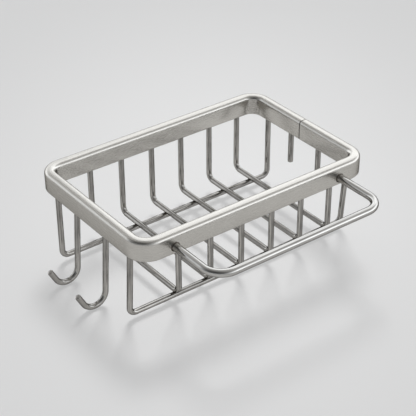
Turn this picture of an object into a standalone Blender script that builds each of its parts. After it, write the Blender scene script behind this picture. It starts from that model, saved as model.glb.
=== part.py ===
"""Wire sink caddy: a bar rim with a wire basket under it, two hooks, two pegs and a cloth rail.

The rim is one flat bar with rounded edges, bent to a rounded rectangle and butted at a seam.
Six cross wires and two long wires are bent to U shapes and make the basket under it.
Two hooks hang from the left end, two short pegs from the right end, and a thicker rail
for a cloth stands out from the front. All of it is bent steel stock, welded together.
The origin is at the middle of the footprint, on the surface that the caddy stands on.
Lengths are in metres, +X runs along the caddy, +Y to its back and +Z up.
"""
import math

import bmesh
import bpy
from mathutils import Vector

# Rim bar
RIM_LENGTH = 0.191
RIM_WIDTH = 0.125
RIM_CORNER_RADIUS = 0.0153
BAR_THICKNESS = 0.008
BAR_HEIGHT = 0.015
BAR_TOP_ROUNDING = 0.003
BAR_FOOT_ROUNDING = 0.0012
SEAM_WIDTH = 0.0004
SEAM_BEHIND_MIDDLE = 0.002

# Basket
BASKET_DEPTH = 0.0515
WIRE_DIAMETER = 0.004
WIRE_BEND_RADIUS = 0.005

# Cross wires, which run from the back of the rim to its front
CROSS_WIRE_COUNT = 6
CROSS_WIRE_LEFT_INSET = 0.0399
CROSS_WIRE_RIGHT_INSET = 0.0211
FRONT_RISER_INSET = 0.0159
FRONT_END_ABOVE_RIM_FOOT = 0.0055

# Long wires, which run from end to end under the cross wires
FRONT_LONG_WIRE_INSET = 0.0174
BACK_LONG_WIRE_INSET = 0.0208

# Hooks under the left end
HOOK_SPACING = 0.0346
HOOK_DROP = 0.0025
HOOK_BEND_RADIUS = 0.0091
HOOK_LEAN = 0.0026
HOOK_TIP_LENGTH = 0.009
HOOK_TIP_FLARE = math.radians(28)

# Pegs under the right end
PEG_SPACING = 0.030
PEG_LENGTH = 0.0252

# Cloth rail on the front
RAIL_DIAMETER = 0.0056
RAIL_LEG_INSET = 0.0268
RAIL_REACH = 0.0424
RAIL_BEND_RADIUS = 0.0136
RAIL_BELOW_BAR_MIDDLE = 0.0022

# Clearance between pieces that are welded together
WELD_GAP = 0.0003

# Fineness of the bends and of the round sections
BEND_STEP = math.radians(12)
CORNER_STEPS = 9
ROUNDING_STEPS = 3
WIRE_ROUNDNESS = 4
RAIL_ROUNDNESS = 5
SMOOTH_BELOW = math.radians(40)
SAME_POINT = 0.000001

# Places that follow from the sizes above, measured from the middle of the rim
HALF_LENGTH = RIM_LENGTH / 2
HALF_WIDTH = RIM_WIDTH / 2
HALF_BAR = BAR_THICKNESS / 2
WIRE_RADIUS = WIRE_DIAMETER / 2
RAIL_RADIUS = RAIL_DIAMETER / 2
END_LINE = HALF_LENGTH - HALF_BAR
SIDE_LINE = HALF_WIDTH - HALF_BAR
RIM_FOOT = HOOK_DROP + BASKET_DEPTH
BAR_MIDDLE = RIM_FOOT + BAR_HEIGHT / 2
WIRE_TOP = RIM_FOOT - WELD_GAP
LONG_WIRE_LEVEL = HOOK_DROP + WIRE_RADIUS
CROSS_WIRE_LEVEL = LONG_WIRE_LEVEL + WIRE_DIAMETER + WELD_GAP
FRONT_RISER_LINE = -HALF_WIDTH + FRONT_RISER_INSET
QUARTER_TURN = math.radians(90)


def bent_line(corners, radii):
    """Points of a line through the corners, with each inner corner rounded to its radius."""
    points = [corners[0]]
    for before, corner, after, radius in zip(corners, corners[1:], corners[2:], radii):
        arriving = (corner - before).normalized()
        leaving = (after - corner).normalized()
        turn = arriving.angle(leaving)
        inward = (leaving - arriving * arriving.dot(leaving)).normalized()
        middle = corner - arriving * radius * math.tan(turn / 2) + inward * radius
        steps = math.ceil(turn / BEND_STEP)
        for step in range(steps + 1):
            angle = turn * step / steps
            points.append(middle + radius * (arriving * math.sin(angle) - inward * math.cos(angle)))
    points.append(corners[-1])
    return points


def hook_line():
    """Centre line of a hook: a leaning shank, a round bend down to the floor and a flared tip."""
    bend_level = HOOK_BEND_RADIUS + WIRE_RADIUS
    lean = math.atan2(HOOK_LEAN, WIRE_TOP - bend_level)
    across = -END_LINE - HOOK_LEAN - HOOK_BEND_RADIUS * math.cos(lean)
    middle = Vector((across, 0, bend_level))
    points = [Vector((-END_LINE, 0, WIRE_TOP))]
    sweep = math.pi - HOOK_TIP_FLARE - lean
    steps = math.ceil(sweep / BEND_STEP)
    for step in range(steps + 1):
        angle = -lean - sweep * step / steps
        points.append(middle + HOOK_BEND_RADIUS * Vector((math.cos(angle), 0, math.sin(angle))))
    rising = Vector((-math.sin(HOOK_TIP_FLARE), 0, math.cos(HOOK_TIP_FLARE)))
    points.append(points[-1] + HOOK_TIP_LENGTH * rising)
    return points


def rim_middle():
    """Where the rim's middle stands when the origin is at the middle of the whole footprint."""
    hook_end = hook_line()[-1].x - WIRE_RADIUS * math.cos(HOOK_TIP_FLARE)
    rail_front = -HALF_WIDTH - RAIL_REACH - RAIL_RADIUS
    return Vector((-(hook_end + HALF_LENGTH) / 2, -(rail_front + HALF_WIDTH) / 2, 0))


def steel(name, colour, roughness):
    """Bare stainless steel with a satin finish."""
    material = bpy.data.materials.new(name)
    material.use_nodes = True
    shader = material.node_tree.nodes["Principled BSDF"]
    shader.inputs["Base Color"].default_value = (*colour, 1)
    shader.inputs["Metallic"].default_value = 1
    shader.inputs["Roughness"].default_value = roughness
    return material


def line_curve(name, points, closed=False):
    """Curve object that runs straight from point to point."""
    curve = bpy.data.curves.new(name, "CURVE")
    curve.dimensions = "3D"
    curve.use_fill_caps = not closed
    spline = curve.splines.new("POLY")
    spline.points.add(len(points) - 1)
    for place, point in zip(spline.points, points):
        place.co = (*point, 1)
    spline.use_cyclic_u = closed
    guide = bpy.data.objects.new(name, curve)
    bpy.context.scene.collection.objects.link(guide)
    return guide


def solid_from(guide, place, material, base):
    """Turn a curve into a mesh object, join its caps on, and stand it at its place on the base."""
    bpy.context.view_layer.update()
    evaluated = guide.evaluated_get(bpy.context.evaluated_depsgraph_get())
    mesh = bpy.data.meshes.new_from_object(evaluated)
    shape = bmesh.new()
    shape.from_mesh(mesh)
    bmesh.ops.remove_doubles(shape, verts=shape.verts, dist=SAME_POINT)
    bmesh.ops.recalc_face_normals(shape, faces=shape.faces)
    shape.to_mesh(mesh)
    shape.free()
    mesh.shade_smooth()
    mesh.set_sharp_from_angle(angle=SMOOTH_BELOW)
    mesh.materials.clear()
    mesh.materials.append(material)
    name = guide.name
    bpy.data.objects.remove(guide)
    mesh.name = name
    piece = bpy.data.objects.new(name, mesh)
    piece.location = place
    piece.parent = base
    bpy.data.collections["sink_caddy"].objects.link(piece)
    return piece


def wire(name, points, diameter, roundness, place, material, base):
    """Round wire along a line of points, cut square at both ends."""
    guide = line_curve(name, points)
    guide.data.bevel_depth = diameter / 2
    guide.data.bevel_resolution = roundness
    return solid_from(guide, place, material, base)


def bar_section():
    """Outline of the bar round its middle: flat sides with rounded long edges."""
    outline = []
    edges = (
        (1, 1, BAR_TOP_ROUNDING),
        (-1, 1, BAR_TOP_ROUNDING),
        (-1, -1, BAR_FOOT_ROUNDING),
        (1, -1, BAR_FOOT_ROUNDING),
    )
    for quarter, (side, end, rounding) in enumerate(edges):
        across = side * (HALF_BAR - rounding)
        level = end * (BAR_HEIGHT / 2 - rounding)
        for step in range(ROUNDING_STEPS + 1):
            angle = QUARTER_TURN * (quarter + step / ROUNDING_STEPS)
            outline.append(Vector((
                across + rounding * math.cos(angle),
                level + rounding * math.sin(angle),
                0,
            )))
    return outline


def rim_line():
    """Middle line of the bar, from one face of the seam round to the other."""
    radius = RIM_CORNER_RADIUS - HALF_BAR
    along = END_LINE - radius
    across = SIDE_LINE - radius
    corners = ((along, across), (-along, across), (-along, -across), (along, -across))
    points = [Vector((END_LINE, SEAM_BEHIND_MIDDLE + SEAM_WIDTH / 2, 0))]
    for quarter, (x, y) in enumerate(corners):
        for step in range(CORNER_STEPS + 1):
            angle = QUARTER_TURN * (quarter + step / CORNER_STEPS)
            points.append(Vector((x + radius * math.cos(angle), y + radius * math.sin(angle), 0)))
    points.append(Vector((END_LINE, SEAM_BEHIND_MIDDLE - SEAM_WIDTH / 2, 0)))
    return points


def rim(base):
    """The bent bar, with the crack of its butt seam on the right end."""
    material = steel("rim_steel", (0.50, 0.49, 0.47), 0.30)
    section = line_curve("bar_section", bar_section(), closed=True)
    guide = line_curve("rim_band", rim_line())
    guide.data.twist_mode = "Z_UP"
    guide.data.bevel_mode = "OBJECT"
    guide.data.bevel_object = section
    solid_from(guide, Vector((0, 0, BAR_MIDDLE)), material, base)
    bpy.data.objects.remove(section)


def cross_wires(base):
    """Wires that run from the back of the rim to its front and are the basket's floor.

    They hang under the back bar. Their front risers stand inside the rim and are bent over
    at the top, to end on the inner face of the front bar.
    """
    material = steel("cross_wire_steel", (0.48, 0.47, 0.45), 0.28)
    front_level = RIM_FOOT + FRONT_END_ABOVE_RIM_FOOT
    front_face = -HALF_WIDTH + BAR_THICKNESS
    corners = (
        Vector((0, SIDE_LINE, WIRE_TOP)),
        Vector((0, SIDE_LINE, CROSS_WIRE_LEVEL)),
        Vector((0, FRONT_RISER_LINE, CROSS_WIRE_LEVEL)),
        Vector((0, FRONT_RISER_LINE, front_level)),
        Vector((0, front_face + WELD_GAP, front_level)),
    )
    points = bent_line(corners, (WIRE_BEND_RADIUS, WIRE_BEND_RADIUS, WIRE_BEND_RADIUS))
    first = -HALF_LENGTH + CROSS_WIRE_LEFT_INSET
    last = HALF_LENGTH - CROSS_WIRE_RIGHT_INSET
    pitch = (last - first) / (CROSS_WIRE_COUNT - 1)
    for index in range(CROSS_WIRE_COUNT):
        place = Vector((first + index * pitch, 0, 0))
        name = f"cross_wire_{index + 1}"
        wire(name, points, WIRE_DIAMETER, WIRE_ROUNDNESS, place, material, base)


def long_wires(base):
    """Wires that hang from the ends of the rim and carry the cross wires.

    The back one is upright. The front one leans back to lie where the cross wires come level.
    """
    material = steel("long_wire_steel", (0.48, 0.47, 0.45), 0.28)
    back = HALF_WIDTH - BACK_LONG_WIRE_INSET
    front_top = -HALF_WIDTH + FRONT_LONG_WIRE_INSET
    front_foot = FRONT_RISER_LINE + WIRE_BEND_RADIUS
    lines = (("long_wire_front", front_top, front_foot), ("long_wire_back", back, back))
    for name, top, foot in lines:
        corners = (
            Vector((-END_LINE, top, WIRE_TOP)),
            Vector((-END_LINE, foot, LONG_WIRE_LEVEL)),
            Vector((END_LINE, foot, LONG_WIRE_LEVEL)),
            Vector((END_LINE, top, WIRE_TOP)),
        )
        points = bent_line(corners, (WIRE_BEND_RADIUS, WIRE_BEND_RADIUS))
        wire(name, points, WIRE_DIAMETER, WIRE_ROUNDNESS, Vector(), material, base)


def hooks(base):
    """Hooks that hang under the left end and turn up outside it."""
    material = steel("hook_steel", (0.48, 0.47, 0.45), 0.28)
    for name, side in (("hook_front", -1), ("hook_back", 1)):
        place = Vector((0, side * HOOK_SPACING / 2, 0))
        wire(name, hook_line(), WIRE_DIAMETER, WIRE_ROUNDNESS, place, material, base)


def pegs(base):
    """Short straight wires that hang under the right end."""
    material = steel("peg_steel", (0.48, 0.47, 0.45), 0.28)
    points = (Vector((0, 0, WIRE_TOP)), Vector((0, 0, WIRE_TOP - PEG_LENGTH)))
    for name, side in (("peg_front", -1), ("peg_back", 1)):
        place = Vector((END_LINE, side * PEG_SPACING / 2, 0))
        wire(name, points, WIRE_DIAMETER, WIRE_ROUNDNESS, place, material, base)


def cloth_rail(base):
    """Thicker wire that stands out level from the front of the rim."""
    material = steel("rail_steel", (0.52, 0.51, 0.49), 0.26)
    leg = HALF_LENGTH - RAIL_LEG_INSET
    bar_face = -HALF_WIDTH - WELD_GAP
    front = -HALF_WIDTH - RAIL_REACH
    corners = (
        Vector((-leg, bar_face, 0)),
        Vector((-leg, front, 0)),
        Vector((leg, front, 0)),
        Vector((leg, bar_face, 0)),
    )
    points = bent_line(corners, (RAIL_BEND_RADIUS, RAIL_BEND_RADIUS))
    place = Vector((0, 0, BAR_MIDDLE - RAIL_BELOW_BAR_MIDDLE))
    wire("cloth_rail", points, RAIL_DIAMETER, RAIL_ROUNDNESS, place, material, base)


def caddy_base():
    """Empty on the floor under the rim's middle, which carries every piece."""
    collection = bpy.data.collections.new("sink_caddy")
    bpy.context.scene.collection.children.link(collection)
    base = bpy.data.objects.new("caddy_base", None)
    base.location = rim_middle()
    collection.objects.link(base)
    return base


def main():
    for leftover in list(bpy.data.objects):
        bpy.data.objects.remove(leftover)
    base = caddy_base()
    rim(base)
    cross_wires(base)
    long_wires(base)
    hooks(base)
    pegs(base)
    cloth_rail(base)


main()
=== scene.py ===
"""Looks of the wire sink caddy: drawn and bent stainless steel on a pale floor.

Every rod starts as a flat section, is drawn out straight and is turned round its bends,
as the real stock is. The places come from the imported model's boxes, lengths are in metres.
"""
import math
from typing import NamedTuple

import bmesh
import bpy
from mathutils import Matrix, Vector


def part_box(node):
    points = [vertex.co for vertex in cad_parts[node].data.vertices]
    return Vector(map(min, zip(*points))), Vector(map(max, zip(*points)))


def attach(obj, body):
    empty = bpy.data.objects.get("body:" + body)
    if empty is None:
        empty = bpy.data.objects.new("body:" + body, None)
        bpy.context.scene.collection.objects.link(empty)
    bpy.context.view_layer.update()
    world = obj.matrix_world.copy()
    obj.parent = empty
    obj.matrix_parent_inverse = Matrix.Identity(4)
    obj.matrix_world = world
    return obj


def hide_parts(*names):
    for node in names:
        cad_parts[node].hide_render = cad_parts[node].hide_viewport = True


bl_info = {
    "name": "Wire Sink Caddy",
    "version": (1, 0, 0),
    "blender": (4, 5, 0),
    "location": "3D View > Sidebar > Sink Caddy",
    "description": "Builds a welded wire sink caddy piece by piece, with its stage",
    "category": "Add Mesh",
}

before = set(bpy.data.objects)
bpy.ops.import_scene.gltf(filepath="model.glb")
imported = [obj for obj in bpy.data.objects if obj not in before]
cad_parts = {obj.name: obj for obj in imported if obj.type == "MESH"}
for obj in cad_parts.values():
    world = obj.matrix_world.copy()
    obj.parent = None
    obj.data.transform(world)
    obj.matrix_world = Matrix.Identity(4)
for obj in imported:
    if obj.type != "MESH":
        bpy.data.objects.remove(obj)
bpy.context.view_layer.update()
RIM_LOW, RIM_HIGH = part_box("rim_band")
CROSS_LOW, CROSS_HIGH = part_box("cross_wire_1")
FRONT_LONG_LOW, FRONT_LONG_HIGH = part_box("long_wire_front")
BACK_LONG_LOW, BACK_LONG_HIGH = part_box("long_wire_back")
HOOK_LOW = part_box("hook_front")[0]
RAIL_LOW, RAIL_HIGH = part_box("cloth_rail")

CROSS_WIRES = [f"cross_wire_{number}" for number in range(1, 7)]
HOOKS = ["hook_front", "hook_back"]
PEGS = ["peg_front", "peg_back"]

# How finely round things are made
ROUND_SIDES = 28
BEND_STEP = math.radians(6)
ROUNDING_STEPS = 5
CHAMFER_STEPS = 2
WELD_SIDES = 24
NUGGET_SIDES = 16
NUGGET_RINGS = 8
SMOOTH_BELOW = math.radians(35)
STRAIGHT_MARGIN = 0.0005
SAME_POINT = 1e-7

# Section of the weld round a wire's end: share of the wire's radius, then how far it lies
# outside that and off the face, both as shares of the fillet's width
WELD_SECTION = (
    (0.90, 0.0, -0.20),
    (1.00, 1.0, -0.20),
    (1.00, 0.8, 0.25),
    (1.00, 0.3, 0.55),
    (0.98, 0.0, 1.10),
)
# Radius of the weld at a crossing as a share of the wire's, and its height as a share of that
NUGGET_SHARE = 0.62
NUGGET_FLATNESS = 0.55

# Widths in millimetres of the cloudy patches and the grain on steel, and of the scale on
# welds. Real grain and scale are finer, and these are as coarse as they need to be to show.
CLOUD_WIDTH = 11.11
GRAIN_WIDTH = 0.7143
WELD_SCALE_WIDTH = 1.111
# Values between which nearly all of a noise lies, those between which a line goes from
# fully dark to fully bright, and those between which the scale changes its tint
NOISE_SPAN = (0.3, 0.7)
LINE_SPAN = (0.35, 0.65)
SCALE_SPAN = (0.35, 0.68)
# Heights in metres of the drawing lines and of the scale on welds
LINE_DEPTH = 0.00002
WELD_SCALE_DEPTH = 0.0001
# How much the clouds add to the lines, and how far both move the roughness down and up
CLOUD_SHARE = 0.2
SMOOTHER_BY = 0.06
ROUGHER_BY = 0.07
# Tints of the weld's dark and light scale as shares of its colour, and the roughness of both
SCALE_DARK_SHARE = 0.55
SCALE_LIGHT_SHARE = 1.25
SCALE_ROUGHNESS = (0.34, 0.5)

# The photograph's camera: its turn, rise and roll in radians, its distance from the basket's
# middle and its place aside and above in metres, and its focal length in picture widths
CAMERA_TURN = -0.6424976
CAMERA_RISE = 0.5655410
CAMERA_ROLL = -0.0042584
CAMERA_DISTANCE = 0.8699375
CAMERA_ASIDE = 0.0026641
CAMERA_UP = 0.0231451
CAMERA_FOCUS = 1223.635 / 416
# Width in millimetres of the sensor, which the focal length is turned into millimetres by
SENSOR_WIDTH = 36

# How far the floor reaches from its middle
FLOOR_REACH = 100
# Share of the floor's paleness that is its own, as in a photograph with lightened shade
FLOOR_GLOW_SHARE = 0.51
# How strongly it glows far out, and in the middle of the painted pool of light behind the caddy
FLOOR_GLOW = 0.42
POOL_GLOW = 0.6
# The painted light pool's middle, its turn about the upright, and its reach from the middle
POOL_MIDDLE = (0.06, 0.07, 0)
POOL_TURN = math.radians(-36.812)
POOL_REACH = (0.33, 0.50, 0.33)

# The tent's walls and the mirrored panel are faintly cool, as the metal's highlights are
COOL_WHITE = (0.925, 0.957, 1.0)
PLAIN_WHITE = (1, 1, 1)

# Sines of the rises at which the tent's pale walls end and its ceiling begins, and between
# which its skirt fades out
TENT_WALL_TOP = 0.30
TENT_CEILING = 0.62
TENT_SKIRT_FADE = (0.05, 0.14)
# How brightly the metal mirrors the walls, and what share of that the ceiling, the skirt on
# the open side and the light on matt surfaces get
TENT_WALL_LIGHT = 2.08
TENT_CEILING_SHARE = 0.25
TENT_SKIRT_SHARE = 0.4
TENT_DIFFUSE_SHARE = 0.24
# Direction in degrees, counted from +X towards +Y, in which the tent is open and dark
TENT_OPEN_SIDE = 205
# Cosines of the angles from there between which the walls darken, and their light at each
TENT_OPEN_FADE = (-0.3, 0.9)
TENT_OPEN_SHARES = (1.1, 0.1)


class Lamp(NamedTuple):
    """Square lamp that faces the caddy.

    Its azimuth from +X towards +Y, its rise and the spread that it fills, as seen from the
    caddy, are in degrees. Its strength is its share of the light that shows the floor's
    colour as written. lights and mirrored say whether matt surfaces and metal get its light.
    """

    name: str
    azimuth: float
    rise: float
    spread: float
    strength: float
    tint: tuple
    lights: bool
    mirrored: bool


LAMP_DISTANCE = 12
LAMP_TARGET = Vector((0, 0, 0.03))
LAMPS = (
    Lamp("mirrored_panel", 35, 45, 42, 0.135, COOL_WHITE, lights=False, mirrored=True),
    Lamp("wide_panel", 50, 50, 60, 0.23, PLAIN_WHITE, lights=True, mirrored=False),
    Lamp("small_key", 50, 50, 16, 0.50, PLAIN_WHITE, lights=True, mirrored=False),
)


def length(label, help_text, value):
    """Length that a user may change."""
    return bpy.props.FloatProperty(
        name=label, description=help_text, default=value, min=0, unit="LENGTH", precision=4
    )


def angle(label, help_text, value):
    """Angle that a user may change."""
    return bpy.props.FloatProperty(
        name=label, description=help_text, default=math.radians(value), subtype="ANGLE"
    )


def colour(label, help_text, value):
    """Colour that a user may change, from its sRGB hex value."""
    return bpy.props.FloatVectorProperty(
        name=label, description=help_text, default=linear(value), min=0, max=1,
        size=4, subtype="COLOR",
    )


def linear(hex_value):
    """Linear colour with full cover from an sRGB hex value."""
    parts = [int(hex_value[place:place + 2], 16) / 255 for place in (1, 3, 5)]
    light = [c / 12.92 if c <= 0.04045 else ((c + 0.055) / 1.055) ** 2.4 for c in parts]
    return (*light, 1.0)


def dimmed(full, share):
    """Colour with only this share of its light."""
    return [part * share for part in full[:3]] + [1]


def middle(node):
    """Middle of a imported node's box."""
    low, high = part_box(node)
    return (low + high) / 2


class CaddySizes(bpy.types.PropertyGroup):
    """Sizes of the caddy's stock and of its bends."""

    bar_thickness: length("Bar thickness", "Thickness of the rim's flat bar", 0.008)
    rim_corner: length("Rim corner", "Radius of the rim's outer corners", 0.0153)
    bar_top_rounding: length("Top rounding", "Rounding of the bar's upper long edges", 0.003)
    bar_foot_rounding: length("Foot rounding", "Rounding of the bar's lower long edges", 0.0012)
    seam_width: length("Seam width", "Width of the crack at the rim's butt seam", 0.0004)
    seam_behind_middle: length("Seam place", "Distance of the seam behind the middle", 0.002)
    wire_diameter: length("Wire", "Diameter of the basket wire", 0.004)
    wire_bend: length("Wire bend", "Bend radius of the basket wire's middle line", 0.005)
    front_riser_inset: length(
        "Front riser inset", "Distance of the cross wires' front risers from the rim's face", 0.0159
    )
    front_end_rise: length(
        "Front end height", "Height of the cross wires' front ends above the bar's foot", 0.0055
    )
    rail_diameter: length("Rail", "Diameter of the cloth rail", 0.0056)
    rail_bend: length("Rail bend", "Bend radius of the rail's middle line", 0.0136)
    hook_bend: length("Hook bend", "Bend radius of the hooks' middle line", 0.0091)
    hook_lean: length("Hook lean", "How far a hook's shank leans out to its bend", 0.0026)
    hook_tip: length("Hook tip", "Length of the straight tip of a hook", 0.009)
    hook_flare: angle("Hook flare", "How far a hook's tip leans out", 28)
    end_chamfer: length("End chamfer", "Width of the broken edge at a cut end", 0.0003)
    weld_fillet: length("Weld fillet", "Width of the weld round a wire's end", 0.0007)


class CaddyFinishes(bpy.types.PropertyGroup):
    """Colours of the metals and of the floor."""

    bar_colour: colour("Bar", "Brushed stainless steel of the rim", "#CCC9C3")
    wire_colour: colour("Wire", "Drawn stainless steel of the wires", "#C0BDB8")
    rail_colour: colour("Rail", "Buffed stainless steel of the cloth rail", "#CAC8C4")
    weld_colour: colour("Weld", "Steel darkened by welding heat", "#5C5650")
    floor_colour: colour("Floor", "Matt pale floor", "#E2E2E2")


def add_node(tree, kind, values=(), links=(), **settings):
    """Add a node, set its attributes and sockets, and link outputs to its inputs."""
    node = tree.nodes.new(kind)
    for name, value in settings.items():
        setattr(node, name, value)
    for socket, value in dict(values).items():
        node.inputs[socket].default_value = value
    for socket, source in dict(links).items():
        tree.links.new(source, node.inputs[socket])
    return node


def new_material(name, metallic):
    """New material, with its node tree and its shader."""
    material = bpy.data.materials.new(name)
    material.use_nodes = True
    shader = material.node_tree.nodes["Principled BSDF"]
    shader.inputs["Metallic"].default_value = metallic
    return material, material.node_tree, shader


def stainless(name, metal, edge, dark_share, roughness, line_width, line_length, bump):
    """Stainless steel with fine lines along its length, made by drawing or by a belt.

    line_width and line_length are in millimetres. Real lines are finer, and these are as
    coarse as they need to be to show. They vary tone and roughness, so highlights break into
    streaks along the stock. Broad cloudy patches come from handling and heat. dark_share is
    how light a dark line is beside a bright one, and edge is the colour that mirrored light
    takes at a glancing angle.
    """
    material, tree, shader = new_material(name, metallic=1)
    # Light that is mirrored at a glancing angle is dimmed, which draws the dark outlines
    shader.inputs["Specular Tint"].default_value = linear(edge)
    stock = add_node(tree, "ShaderNodeAttribute", attribute_name="stock")
    fine = add_node(
        tree, "ShaderNodeMapping",
        values={"Scale": (1000 / line_width, 1000 / line_width, 1000 / line_length)},
        links={"Vector": stock.outputs["Vector"]},
    )
    lines = add_node(
        tree, "ShaderNodeTexNoise", values={"Scale": 1, "Detail": 3, "Roughness": 0.6},
        links={"Vector": fine.outputs["Vector"]},
    )
    clouds = add_node(
        tree, "ShaderNodeTexNoise",
        values={"Scale": 1000 / CLOUD_WIDTH, "Detail": 2, "Roughness": 0.5},
        links={"Vector": stock.outputs["Vector"]},
    )
    grain = add_node(
        tree, "ShaderNodeTexNoise",
        values={"Scale": 1000 / GRAIN_WIDTH, "Detail": 1, "Roughness": 0.5},
        links={"Vector": stock.outputs["Vector"]},
    )
    # Sockets 2 and 3 are the two numbers that a Mix node blends, and 6 and 7 the two colours
    skin = add_node(
        tree, "ShaderNodeMix", values={0: CLOUD_SHARE},
        links={2: lines.outputs["Fac"], 3: clouds.outputs["Fac"]},
    )
    rough = add_node(
        tree, "ShaderNodeMapRange",
        values={
            "From Min": NOISE_SPAN[0], "From Max": NOISE_SPAN[1],
            "To Min": roughness - SMOOTHER_BY, "To Max": roughness + ROUGHER_BY,
        },
        links={"Value": skin.outputs[0]},
    )
    tree.links.new(rough.outputs[0], shader.inputs["Roughness"])
    streaks = add_node(
        tree, "ShaderNodeMapRange",
        values={"From Min": LINE_SPAN[0], "From Max": LINE_SPAN[1]},
        links={"Value": skin.outputs[0]},
    )
    tone = add_node(
        tree, "ShaderNodeMix", data_type="RGBA",
        values={6: dimmed(metal, dark_share), 7: list(metal)}, links={0: streaks.outputs[0]},
    )
    tree.links.new(tone.outputs[2], shader.inputs["Base Color"])
    heights = add_node(
        tree, "ShaderNodeMath", operation="ADD",
        links={0: lines.outputs["Fac"], 1: grain.outputs["Fac"]},
    )
    relief = add_node(
        tree, "ShaderNodeBump", values={"Strength": bump, "Distance": LINE_DEPTH},
        links={"Height": heights.outputs[0]},
    )
    tree.links.new(relief.outputs["Normal"], shader.inputs["Normal"])
    return material


def brush(material, strength):
    """Spread the highlights across the brushing, which runs along the stock."""
    tree = material.node_tree
    shader = tree.nodes["Principled BSDF"]
    run = add_node(tree, "ShaderNodeAttribute", attribute_name="run")
    tree.links.new(run.outputs["Vector"], shader.inputs["Tangent"])
    shader.inputs["Anisotropic"].default_value = strength
    # A quarter of a turn puts the spread across the run
    shader.inputs["Anisotropic Rotation"].default_value = 0.25


def weld_steel(name, metal):
    """Fused steel weld: a dull bead with a scaly skin and brown and grey heat tints."""
    material, tree, shader = new_material(name, metallic=1)
    place = add_node(tree, "ShaderNodeTexCoord")
    scale = add_node(
        tree, "ShaderNodeTexNoise",
        values={"Scale": 1000 / WELD_SCALE_WIDTH, "Detail": 3, "Roughness": 0.6},
        links={"Vector": place.outputs["Object"]},
    )
    tints = add_node(tree, "ShaderNodeValToRGB", links={"Fac": scale.outputs["Fac"]})
    dark, light = tints.color_ramp.elements
    dark.position = SCALE_SPAN[0]
    dark.color = dimmed(metal, SCALE_DARK_SHARE)
    light.position = SCALE_SPAN[1]
    light.color = dimmed(metal, SCALE_LIGHT_SHARE)
    tree.links.new(tints.outputs["Color"], shader.inputs["Base Color"])
    rough = add_node(
        tree, "ShaderNodeMapRange",
        values={
            "From Min": NOISE_SPAN[0], "From Max": NOISE_SPAN[1],
            "To Min": SCALE_ROUGHNESS[0], "To Max": SCALE_ROUGHNESS[1],
        },
        links={"Value": scale.outputs["Fac"]},
    )
    tree.links.new(rough.outputs[0], shader.inputs["Roughness"])
    relief = add_node(
        tree, "ShaderNodeBump", values={"Strength": 0.5, "Distance": WELD_SCALE_DEPTH},
        links={"Height": scale.outputs["Fac"]},
    )
    tree.links.new(relief.outputs["Normal"], shader.inputs["Normal"])
    return material


def round_section(mesh, diameter):
    """Round face that a wire is drawn from."""
    bmesh.ops.create_circle(mesh, cap_ends=True, segments=ROUND_SIDES, radius=diameter / 2)


def bar_section(mesh, sizes):
    """Upright face that the rim's bar is drawn from, with its four edges rounded."""
    height = RIM_HIGH.z - RIM_LOW.z
    bmesh.ops.create_grid(mesh, x_segments=1, y_segments=1, size=0.5)
    bmesh.ops.scale(mesh, vec=(sizes.bar_thickness, height, 1), verts=mesh.verts)
    for corners, rounding in (
        ([v for v in mesh.verts if v.co.y > 0], sizes.bar_top_rounding),
        ([v for v in mesh.verts if v.co.y < 0], sizes.bar_foot_rounding),
    ):
        bmesh.ops.bevel(
            mesh, geom=corners, offset=rounding, offset_type="OFFSET", affect="VERTICES",
            segments=ROUNDING_STEPS, profile=0.5, material=-1,
        )


def draw_out(mesh, tip, heading, distance):
    """Draw the tip face straight on, and return the new tip.

    A ring of edges near each end keeps the shading of bends and ends out of the straight.
    """
    for stretch in (STRAIGHT_MARGIN, distance - 2 * STRAIGHT_MARGIN, STRAIGHT_MARGIN):
        drawn = bmesh.ops.extrude_face_region(mesh, geom=[tip])["geom"]
        tip = open_behind(mesh, tip, drawn)
        bmesh.ops.translate(mesh, vec=heading * stretch, verts=tip.verts)
        mark(mesh, tip, heading, stretch)
    return tip


def turn_round(mesh, tip, heading, centre, axis, turn, radius):
    """Turn the tip face round a bend in even steps, and return the new tip."""
    steps = math.ceil(turn / BEND_STEP)
    for step in range(steps):
        turned = bmesh.ops.spin(
            mesh, geom=[tip], cent=centre, axis=axis, angle=turn / steps, steps=1,
            use_duplicate=False,
        )["geom_last"]
        tip = open_behind(mesh, tip, turned)
        turned_heading = Matrix.Rotation(turn * (step + 1) / steps, 3, axis) @ heading
        mark(mesh, tip, turned_heading, radius * turn / steps)
    return tip


def open_behind(mesh, old_tip, drawn):
    """Return the new tip face among what was drawn out, and delete the face left inside.

    The first face of all stays as the cap at the start.
    """
    tip = next(item for item in drawn if isinstance(item, bmesh.types.BMFace))
    if len(old_tip.edges[0].link_faces) > 2:
        bmesh.ops.delete(mesh, geom=[old_tip], context="FACES_ONLY")
    return tip


def mark(mesh, tip, heading, distance):
    """Note on the tip's corners how far along the stock they are, and which way it runs."""
    stock = mesh.verts.layers.float_vector["stock"]
    run = mesh.verts.layers.float_vector["run"]
    for corner in tip.verts:
        corner[stock].z += distance
        corner[run] = heading


def place_section(mesh, start, heading, side):
    """Stand the section at the start of its line, facing along it, and return it as the tip.

    The stock layer keeps the place that each point had before bending, so that drawing lines
    follow the bends, and the run layer the direction in which the stock runs there.
    """
    stock = mesh.verts.layers.float_vector.new("stock")
    run = mesh.verts.layers.float_vector.new("run")
    for vertex in mesh.verts:
        vertex[stock] = vertex.co
        vertex[run] = heading
    turn_to = Matrix((side, heading.cross(side), heading)).transposed().to_4x4()
    bmesh.ops.transform(mesh, matrix=Matrix.Translation(start) @ turn_to, verts=mesh.verts)
    return next(iter(mesh.faces))


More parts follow.
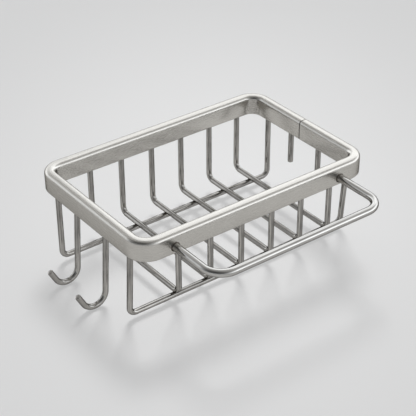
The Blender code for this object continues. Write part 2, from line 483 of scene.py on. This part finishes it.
def bent_stock(mesh, corners, radii, across):
    """Draw the section along a line through the corners, with each inner corner rounded.

    across is the direction in which the section's own x axis starts.
    """
    heading = (corners[1] - corners[0]).normalized()
    side = (across - heading * across.dot(heading)).normalized()
    tip = place_section(mesh, corners[0], heading, side)
    done = corners[0]
    for before, corner, after, radius in zip(corners, corners[1:], corners[2:], radii):
        arriving = (corner - before).normalized()
        leaving = (after - corner).normalized()
        turn = arriving.angle(leaving)
        setback = radius * math.tan(turn / 2)
        inward = (leaving - arriving * arriving.dot(leaving)).normalized()
        bend_start = corner - arriving * setback
        tip = draw_out(mesh, tip, arriving, (bend_start - done).length)
        centre = bend_start + inward * radius
        axis = arriving.cross(leaving).normalized()
        tip = turn_round(mesh, tip, arriving, centre, axis, turn, radius)
        done = corner + leaving * setback
    heading = (corners[-1] - corners[-2]).normalized()
    draw_out(mesh, tip, heading, (corners[-1] - done).length)


def break_ends(mesh, chamfer):
    """Break the sharp edges of the two cut ends, the only faces with more than four sides."""
    ends = [face for face in mesh.faces if len(face.verts) > 4]
    edges = list({edge for face in ends for edge in face.edges})
    bmesh.ops.bevel(
        mesh, geom=edges, offset=chamfer, offset_type="OFFSET", affect="EDGES",
        segments=CHAMFER_STEPS, profile=0.5, material=-1, clamp_overlap=True,
    )


def finish_piece(mesh, name, material, nodes):
    """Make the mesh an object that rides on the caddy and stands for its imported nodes."""
    bmesh.ops.remove_doubles(mesh, verts=mesh.verts, dist=SAME_POINT)
    bmesh.ops.recalc_face_normals(mesh, faces=mesh.faces)
    data = bpy.data.meshes.new(name)
    mesh.to_mesh(data)
    mesh.free()
    data.shade_smooth()
    data.set_sharp_from_angle(angle=SMOOTH_BELOW)
    data.materials.append(material)
    piece = bpy.data.objects.new(name, data)
    bpy.context.scene.collection.objects.link(piece)
    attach(piece, "root")
    if nodes:
        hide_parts(*nodes)
    return piece


def bent_wire(name, corners, radii, across, diameter, chamfer, material, node):
    """Round wire through the corners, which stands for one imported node."""
    mesh = bmesh.new()
    round_section(mesh, diameter)
    bent_stock(mesh, [Vector(corner) for corner in corners], radii, Vector(across))
    break_ends(mesh, chamfer)
    return finish_piece(mesh, name, material, [node])


class CaddyPiece:
    """Shared by every operator here."""

    bl_options = {"REGISTER", "UNDO"}

    @classmethod
    def poll(cls, context):
        return context.scene is not None


class CADDY_OT_rim(CaddyPiece, bpy.types.Operator):
    """Bend the flat bar to the rim, with its butt seam on the right end"""

    bl_idname = "caddy.rim"
    bl_label = "Rim"

    def execute(self, context):
        sizes = context.scene.caddy_sizes
        finishes = context.scene.caddy_finishes
        half = sizes.bar_thickness / 2
        level = middle("rim_band").z
        seam = middle("rim_band").y + sizes.seam_behind_middle
        left, right = RIM_LOW.x + half, RIM_HIGH.x - half
        front, back = RIM_LOW.y + half, RIM_HIGH.y - half
        corners = [
            Vector((right, seam + sizes.seam_width / 2, level)),
            Vector((right, back, level)),
            Vector((left, back, level)),
            Vector((left, front, level)),
            Vector((right, front, level)),
            Vector((right, seam - sizes.seam_width / 2, level)),
        ]
        mesh = bmesh.new()
        bar_section(mesh, sizes)
        bent_stock(mesh, corners, [sizes.rim_corner - half] * 4, Vector((-1, 0, 0)))
        # The cuts are broken as wide as the crack between them
        break_ends(mesh, sizes.seam_width)
        # The bar was ground along its length with a fine belt, which leaves a soft silky sheen
        steel = stainless(
            "brushed_stainless_bar", finishes.bar_colour, edge="#7D7B78", dark_share=0.88,
            roughness=0.25, line_width=0.25, line_length=9, bump=0.25,
        )
        brush(steel, 0.5)
        # The two saw cuts at the seam were never ground and are dull; their dark colour is painted
        # shade in the crack between them
        for face in mesh.faces:
            place = face.calc_center_median()
            on_right_bar = place.x > right - sizes.bar_thickness
            if on_right_bar and abs(place.y - seam) < sizes.seam_width:
                face.material_index = 1
        rim = finish_piece(mesh, "brushed_rim", steel, ["rim_band"])
        # The cut faces take the dark weld colour as painted shade in the seam's crack
        rim.data.materials.append(weld_steel("saw_cut_painted_shade", finishes.weld_colour))
        return {"FINISHED"}


def wire_steel(finishes):
    """Drawn stainless wire: the die leaves fine lines along it and a slightly darker skin."""
    found = bpy.data.materials.get("drawn_stainless_wire")
    return found or stainless(
        "drawn_stainless_wire", finishes.wire_colour, edge="#2A2927", dark_share=0.34,
        roughness=0.1, line_width=1.1, line_length=45, bump=0.15,
    )


class CADDY_OT_cross_wires(CaddyPiece, bpy.types.Operator):
    """Bend the six cross wires, which hang from the back and end on the front bar"""

    bl_idname = "caddy.cross_wires"
    bl_label = "Cross wires"

    def execute(self, context):
        sizes = context.scene.caddy_sizes
        steel = wire_steel(context.scene.caddy_finishes)
        radius = sizes.wire_diameter / 2
        back = CROSS_HIGH.y - radius
        floor = CROSS_LOW.z + radius
        front = RIM_LOW.y + sizes.front_riser_inset
        top = RIM_LOW.z + sizes.front_end_rise
        for node in CROSS_WIRES:
            x = middle(node).x
            corners = (
                (x, back, RIM_LOW.z),
                (x, back, floor),
                (x, front, floor),
                (x, front, top),
                (x, RIM_LOW.y + sizes.bar_thickness, top),
            )
            bent_wire(
                f"drawn_{node}", corners, [sizes.wire_bend] * 3, (1, 0, 0),
                sizes.wire_diameter, sizes.end_chamfer, steel, node,
            )
        return {"FINISHED"}


class CADDY_OT_long_wires(CaddyPiece, bpy.types.Operator):
    """Bend the two long wires, which hang from the ends of the rim and carry the cross wires"""

    bl_idname = "caddy.long_wires"
    bl_label = "Long wires"

    def execute(self, context):
        sizes = context.scene.caddy_sizes
        steel = wire_steel(context.scene.caddy_finishes)
        radius = sizes.wire_diameter / 2
        left, right = BACK_LONG_LOW.x + radius, BACK_LONG_HIGH.x - radius
        floor = BACK_LONG_LOW.z + radius
        back = middle("long_wire_back").y
        places = (
            ("long_wire_front", FRONT_LONG_LOW.y + radius, FRONT_LONG_HIGH.y - radius),
            ("long_wire_back", back, back),
        )
        for node, top, foot in places:
            corners = (
                (left, top, RIM_LOW.z),
                (left, foot, floor),
                (right, foot, floor),
                (right, top, RIM_LOW.z),
            )
            bent_wire(
                f"drawn_{node}", corners, [sizes.wire_bend] * 2, (0, 1, 0),
                sizes.wire_diameter, sizes.end_chamfer, steel, node,
            )
        return {"FINISHED"}


class CADDY_OT_hooks(CaddyPiece, bpy.types.Operator):
    """Bend the two hooks under the left end, with their tips turned up and flared"""

    bl_idname = "caddy.hooks"
    bl_label = "Hooks"

    def execute(self, context):
        sizes = context.scene.caddy_sizes
        steel = wire_steel(context.scene.caddy_finishes)
        radius = sizes.wire_diameter / 2
        top = RIM_LOW.x + sizes.bar_thickness / 2
        bend_level = HOOK_LOW.z + radius + sizes.hook_bend
        lean = math.atan2(sizes.hook_lean, RIM_LOW.z - bend_level)
        centre = top - sizes.hook_lean - sizes.hook_bend * math.cos(lean)
        turn = math.pi - sizes.hook_flare - lean
        rising = Vector((-math.sin(sizes.hook_flare), 0, math.cos(sizes.hook_flare)))
        along_y = Vector((0, 1, 0))
        for node in HOOKS:
            side = middle(node).y
            start = Vector((top, side, RIM_LOW.z))
            bend_middle = Vector((centre, side, bend_level))
            to_bend = Vector((math.cos(lean), 0, -math.sin(lean)))
            bend_start = bend_middle + sizes.hook_bend * to_bend
            down = (bend_start - start).normalized()
            mesh = bmesh.new()
            round_section(mesh, sizes.wire_diameter)
            tip = place_section(mesh, start, down, along_y)
            tip = draw_out(mesh, tip, down, (bend_start - start).length)
            tip = turn_round(mesh, tip, down, bend_middle, along_y, turn, sizes.hook_bend)
            draw_out(mesh, tip, rising, sizes.hook_tip)
            break_ends(mesh, sizes.end_chamfer)
            finish_piece(mesh, f"drawn_{node}", steel, [node])
        return {"FINISHED"}


class CADDY_OT_pegs(CaddyPiece, bpy.types.Operator):
    """Cut the two straight pegs under the right end"""

    bl_idname = "caddy.pegs"
    bl_label = "Pegs"

    def execute(self, context):
        sizes = context.scene.caddy_sizes
        steel = wire_steel(context.scene.caddy_finishes)
        for node in PEGS:
            x, y, _ = middle(node)
            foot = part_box(node)[0].z
            bent_wire(
                f"drawn_{node}", ((x, y, RIM_LOW.z), (x, y, foot)), (), (1, 0, 0),
                sizes.wire_diameter, sizes.end_chamfer, steel, node,
            )
        return {"FINISHED"}


class CADDY_OT_cloth_rail(CaddyPiece, bpy.types.Operator):
    """Bend the cloth rail, which stands out level from the front of the rim"""

    bl_idname = "caddy.cloth_rail"
    bl_label = "Cloth rail"

    def execute(self, context):
        sizes = context.scene.caddy_sizes
        finishes = context.scene.caddy_finishes
        radius = sizes.rail_diameter / 2
        left, right = RAIL_LOW.x + radius, RAIL_HIGH.x - radius
        front = RAIL_LOW.y + radius
        level = middle("cloth_rail").z
        corners = (
            (left, RIM_LOW.y, level),
            (left, front, level),
            (right, front, level),
            (right, RIM_LOW.y, level),
        )
        # The rail was buffed after bending, so it is a little brighter than the wires
        steel = stainless(
            "buffed_stainless_rail", finishes.rail_colour, edge="#4F4D4A", dark_share=0.72,
            roughness=0.12, line_width=1.0, line_length=30, bump=0.15,
        )
        bent_wire(
            "buffed_cloth_rail", corners, [sizes.rail_bend] * 2, (1, 0, 0),
            sizes.rail_diameter, sizes.end_chamfer, steel, "cloth_rail",
        )
        return {"FINISHED"}


def weld_ring(mesh, centre, heading, diameter, fillet):
    """Weld round a wire that ends on a flat face: a hollow fillet from the wire to the face."""
    radius = diameter / 2
    turn_to = heading.to_track_quat("Z", "X").to_matrix().to_4x4()
    place = Matrix.Translation(centre) @ turn_to
    corners = [
        mesh.verts.new(place @ Vector((radius * share + fillet * out, 0, fillet * off)))
        for share, out, off in WELD_SECTION
    ]
    outline = [mesh.edges.new(pair) for pair in zip(corners, corners[1:] + corners[:1])]
    bmesh.ops.spin(
        mesh, geom=corners + outline, cent=centre, axis=heading, angle=math.tau,
        steps=WELD_SIDES, use_merge=True, use_duplicate=False,
    )


class CADDY_OT_welds(CaddyPiece, bpy.types.Operator):
    """Weld the wires and the rail to the rim, and the cross wires to the long wires"""

    bl_idname = "caddy.welds"
    bl_label = "Welds"

    def execute(self, context):
        sizes = context.scene.caddy_sizes
        steel = weld_steel("heat_tinted_weld", context.scene.caddy_finishes.weld_colour)
        self.weld_to_rim(sizes, steel)
        self.weld_crossings(sizes, steel)
        return {"FINISHED"}

    def weld_to_rim(self, sizes, steel):
        """Rings round the ends under the bar, on its inner face and on its front."""
        radius = sizes.wire_diameter / 2
        foot = RIM_LOW.z
        tops = [(middle(node).x, CROSS_HIGH.y - radius) for node in CROSS_WIRES]
        for side in (FRONT_LONG_LOW.y + radius, BACK_LONG_LOW.y + radius):
            tops += [(BACK_LONG_LOW.x + radius, side), (BACK_LONG_HIGH.x - radius, side)]
        tops += [(RIM_LOW.x + sizes.bar_thickness / 2, middle(node).y) for node in HOOKS]
        tops += [middle(node).xy for node in PEGS]
        mesh = bmesh.new()
        for x, y in tops:
            top = Vector((x, y, foot))
            weld_ring(mesh, top, Vector((0, 0, -1)), sizes.wire_diameter, sizes.weld_fillet)
        inner = RIM_LOW.y + sizes.bar_thickness
        for node in CROSS_WIRES:
            end = Vector((middle(node).x, inner, foot + sizes.front_end_rise))
            weld_ring(mesh, end, Vector((0, 1, 0)), sizes.wire_diameter, sizes.weld_fillet)
        rail_radius = sizes.rail_diameter / 2
        for x in (RAIL_LOW.x + rail_radius, RAIL_HIGH.x - rail_radius):
            end = Vector((x, RIM_LOW.y, middle("cloth_rail").z))
            weld_ring(mesh, end, Vector((0, -1, 0)), sizes.rail_diameter, sizes.weld_fillet)
        finish_piece(mesh, "welds_on_rim", steel, [])

    def weld_crossings(self, sizes, steel):
        """Small nugget wherever a cross wire lies on a long wire."""
        radius = sizes.wire_diameter / 2
        mesh = bmesh.new()
        for node in CROSS_WIRES:
            for side in (FRONT_LONG_HIGH.y - radius, BACK_LONG_LOW.y + radius):
                nugget = bmesh.ops.create_uvsphere(
                    mesh, u_segments=NUGGET_SIDES, v_segments=NUGGET_RINGS,
                    radius=radius * NUGGET_SHARE,
                )["verts"]
                bmesh.ops.scale(mesh, vec=(1, 1, NUGGET_FLATNESS), verts=nugget)
                contact = (middle(node).x, side, CROSS_LOW.z)
                bmesh.ops.translate(mesh, vec=contact, verts=nugget)
        finish_piece(mesh, "welds_at_crossings", steel, [])


class CADDY_OT_stage(CaddyPiece, bpy.types.Operator):
    """Lay the pale floor, hang the lights and stand the camera"""

    bl_idname = "caddy.stage"
    bl_label = "Stage"

    def execute(self, context):
        scene = context.scene
        self.lay_floor(scene)
        self.hang_lamps(scene)
        self.pitch_tent(scene)
        self.stand_camera(scene)
        scene.view_settings.view_transform = "Standard"
        return {"FINISHED"}

    def lay_floor(self, scene):
        """Matt pale sweep of painted board, with a faint, wide painted pool of light behind the
        caddy.
        """
        mesh = bmesh.new()
        bmesh.ops.create_grid(mesh, x_segments=2, y_segments=2, size=FLOOR_REACH)
        data = bpy.data.meshes.new("floor")
        mesh.to_mesh(data)
        mesh.free()
        board = scene.caddy_finishes.floor_colour
        material, tree, shader = new_material("matt_pale_floor", metallic=0)
        shader.inputs["Base Color"].default_value = dimmed(board, 1 - FLOOR_GLOW_SHARE)
        shader.inputs["Roughness"].default_value = 1
        shader.inputs["Specular IOR Level"].default_value = 0
        shader.inputs["Emission Color"].default_value = board
        ray = add_node(tree, "ShaderNodeLightPath")
        mirrored = add_node(
            tree, "ShaderNodeMath", operation="MAXIMUM",
            links={0: ray.outputs["Is Glossy Ray"], 1: ray.outputs["Is Transmission Ray"]},
        )
        seen = add_node(
            tree, "ShaderNodeMath", operation="MAXIMUM",
            links={0: ray.outputs["Is Camera Ray"], 1: mirrored.outputs[0]},
        )
        place = add_node(tree, "ShaderNodeTexCoord")
        centred = add_node(
            tree, "ShaderNodeMapping", vector_type="TEXTURE",
            values={"Location": POOL_MIDDLE, "Rotation": (0, 0, POOL_TURN), "Scale": POOL_REACH},
            links={"Vector": place.outputs["Object"]},
        )
        # Painted pool of light: the floor's glow is stronger in a wide pool behind the caddy and
        # fades out to the rest
        pool = add_node(
            tree, "ShaderNodeTexGradient", gradient_type="SPHERICAL",
            links={"Vector": centred.outputs["Vector"]},
        )
        glow_and_painted_pool = add_node(
            tree, "ShaderNodeMapRange", interpolation_type="SMOOTHSTEP",
            values={"To Min": FLOOR_GLOW, "To Max": POOL_GLOW},
            links={"Value": pool.outputs["Fac"]},
        )
        glow = add_node(
            tree, "ShaderNodeMath", operation="MULTIPLY",
            links={0: seen.outputs[0], 1: glow_and_painted_pool.outputs[0]},
        )
        tree.links.new(glow.outputs[0], shader.inputs["Emission Strength"])
        data.materials.append(material)
        floor = bpy.data.objects.new("floor", data)
        scene.collection.objects.link(floor)

    def hang_lamps(self, scene):
        """Lamps high behind the caddy's right end.

        The wide panel and the small key light the floor, and the mirrored panel is only seen
        in the metal, as the bright streak along every rounded edge.
        """
        for lamp in LAMPS:
            turn, rise = math.radians(lamp.azimuth), math.radians(lamp.rise)
            way = Vector((
                math.cos(turn) * math.cos(rise), math.sin(turn) * math.cos(rise), math.sin(rise)
            ))
            light = bpy.data.lights.new(lamp.name, "AREA")
            light.shape = "SQUARE"
            light.size = 2 * LAMP_DISTANCE * math.tan(math.radians(lamp.spread) / 2)
            # This power gives a floor that faces up the lamp's share of its full light
            light.energy = lamp.strength * math.pi ** 2 * LAMP_DISTANCE ** 2 / math.sin(rise)
            light.color = lamp.tint
            hung = bpy.data.objects.new(lamp.name, light)
            hung.location = LAMP_TARGET + way * LAMP_DISTANCE
            hung.rotation_euler = way.to_track_quat("Z", "Y").to_euler()
            hung.visible_diffuse = lamp.lights
            hung.visible_glossy = lamp.mirrored
            scene.collection.objects.link(hung)

    def pitch_tent(self, scene):
        """World that is a studio tent: pale walls, a greyer ceiling and one open, dark side."""
        world = bpy.data.worlds.new("studio_tent")
        world.use_nodes = True
        tree = world.node_tree
        way = add_node(tree, "ShaderNodeTexCoord")
        parts = add_node(tree, "ShaderNodeSeparateXYZ", links={0: way.outputs["Generated"]})
        ramp = add_node(tree, "ShaderNodeValToRGB", links={"Fac": parts.outputs["Z"]})
        wall, ceiling = ramp.color_ramp.elements
        wall.position = TENT_WALL_TOP
        wall.color = (*COOL_WHITE, 1)
        ceiling.position = TENT_CEILING
        ceiling.color = (TENT_CEILING_SHARE,) * 3 + (1,)
        ray = add_node(tree, "ShaderNodeLightPath")
        light = add_node(
            tree, "ShaderNodeMapRange",
            values={"To Min": TENT_WALL_LIGHT, "To Max": TENT_WALL_LIGHT * TENT_DIFFUSE_SHARE},
            links={"Value": ray.outputs["Is Diffuse Ray"]},
        )
        # The open side gives the metal something dark to mirror
        open_side = math.radians(TENT_OPEN_SIDE)
        towards_open = add_node(
            tree, "ShaderNodeVectorMath", operation="DOT_PRODUCT",
            values={1: (math.cos(open_side), math.sin(open_side), 0)},
            links={0: way.outputs["Generated"]},
        )
        walls = add_node(
            tree, "ShaderNodeMapRange", interpolation_type="SMOOTHSTEP",
            values={
                "From Min": TENT_OPEN_FADE[0], "From Max": TENT_OPEN_FADE[1],
                "To Min": TENT_OPEN_SHARES[0], "To Max": TENT_OPEN_SHARES[1],
            },
            links={"Value": towards_open.outputs["Value"]},
        )
        # A pale skirt closes it near the floor, so low views see no dark behind the caddy
        skirt = add_node(
            tree, "ShaderNodeMapRange", interpolation_type="SMOOTHSTEP",
            values={
                "From Min": TENT_SKIRT_FADE[0], "From Max": TENT_SKIRT_FADE[1],
                "To Min": TENT_SKIRT_SHARE, "To Max": 0,
            },
            links={"Value": parts.outputs["Z"]},
        )
        closed = add_node(
            tree, "ShaderNodeMath", operation="MAXIMUM",
            links={0: walls.outputs[0], 1: skirt.outputs[0]},
        )
        strength = add_node(
            tree, "ShaderNodeMath", operation="MULTIPLY",
            links={0: light.outputs[0], 1: closed.outputs[0]},
        )
        sky = tree.nodes["Background"]
        tree.links.new(ramp.outputs["Color"], sky.inputs["Color"])
        tree.links.new(strength.outputs[0], sky.inputs["Strength"])
        scene.world = world

    def stand_camera(self, scene):
        """Camera at the photograph's place, aimed at the caddy's middle."""
        turn, rise, roll = CAMERA_TURN, CAMERA_RISE, CAMERA_ROLL
        back = Vector((
            math.sin(turn) * math.cos(rise), -math.cos(turn) * math.cos(rise), math.sin(rise)
        ))
        right = Vector((math.cos(turn), math.sin(turn), 0))
        up = back.cross(right)
        rolled_right = math.cos(roll) * right + math.sin(roll) * up
        rolled_up = -math.sin(roll) * right + math.cos(roll) * up
        rim_middle = middle("rim_band")
        place = Vector((rim_middle.x, rim_middle.y, BACK_LONG_LOW.z)) + back * CAMERA_DISTANCE
        place += rolled_right * CAMERA_ASIDE + rolled_up * CAMERA_UP
        lens = bpy.data.cameras.new("camera")
        lens.sensor_width = SENSOR_WIDTH
        lens.lens = CAMERA_FOCUS * SENSOR_WIDTH
        camera = bpy.data.objects.new("camera", lens)
        turned = Matrix((rolled_right, rolled_up, back)).transposed().to_4x4()
        camera.matrix_world = Matrix.Translation(place) @ turned
        scene.collection.objects.link(camera)
        scene.camera = camera


PIECES = (
    CADDY_OT_rim,
    CADDY_OT_cross_wires,
    CADDY_OT_long_wires,
    CADDY_OT_hooks,
    CADDY_OT_pegs,
    CADDY_OT_cloth_rail,
    CADDY_OT_welds,
    CADDY_OT_stage,
)


class CADDY_PT_sidebar(bpy.types.Panel):
    """Panel with the sizes, the finishes and a button for each piece"""

    bl_idname = "CADDY_PT_sidebar"
    bl_label = "Sink Caddy"
    bl_space_type = "VIEW_3D"
    bl_region_type = "UI"
    bl_category = "Sink Caddy"

    def draw(self, context):
        layout = self.layout
        for group in (context.scene.caddy_sizes, context.scene.caddy_finishes):
            column = layout.column()
            for name in group.__annotations__:
                column.prop(group, name)
        for piece in PIECES:
            layout.operator(piece.bl_idname)


CLASSES = (CaddySizes, CaddyFinishes, *PIECES, CADDY_PT_sidebar)


def register():
    """Make the sizes, the finishes, the operators and the panel known to Blender."""
    for item in CLASSES:
        bpy.utils.register_class(item)
    bpy.types.Scene.caddy_sizes = bpy.props.PointerProperty(type=CaddySizes)
    bpy.types.Scene.caddy_finishes = bpy.props.PointerProperty(type=CaddyFinishes)


def unregister():
    """Take back what register made known."""
    del bpy.types.Scene.caddy_finishes
    del bpy.types.Scene.caddy_sizes
    for item in reversed(CLASSES):
        bpy.utils.unregister_class(item)


def main():
    register()
    for piece in PIECES:
        group, name = piece.bl_idname.split(".")
        getattr(getattr(bpy.ops, group), name)()


if __name__ == "__main__":
    main()
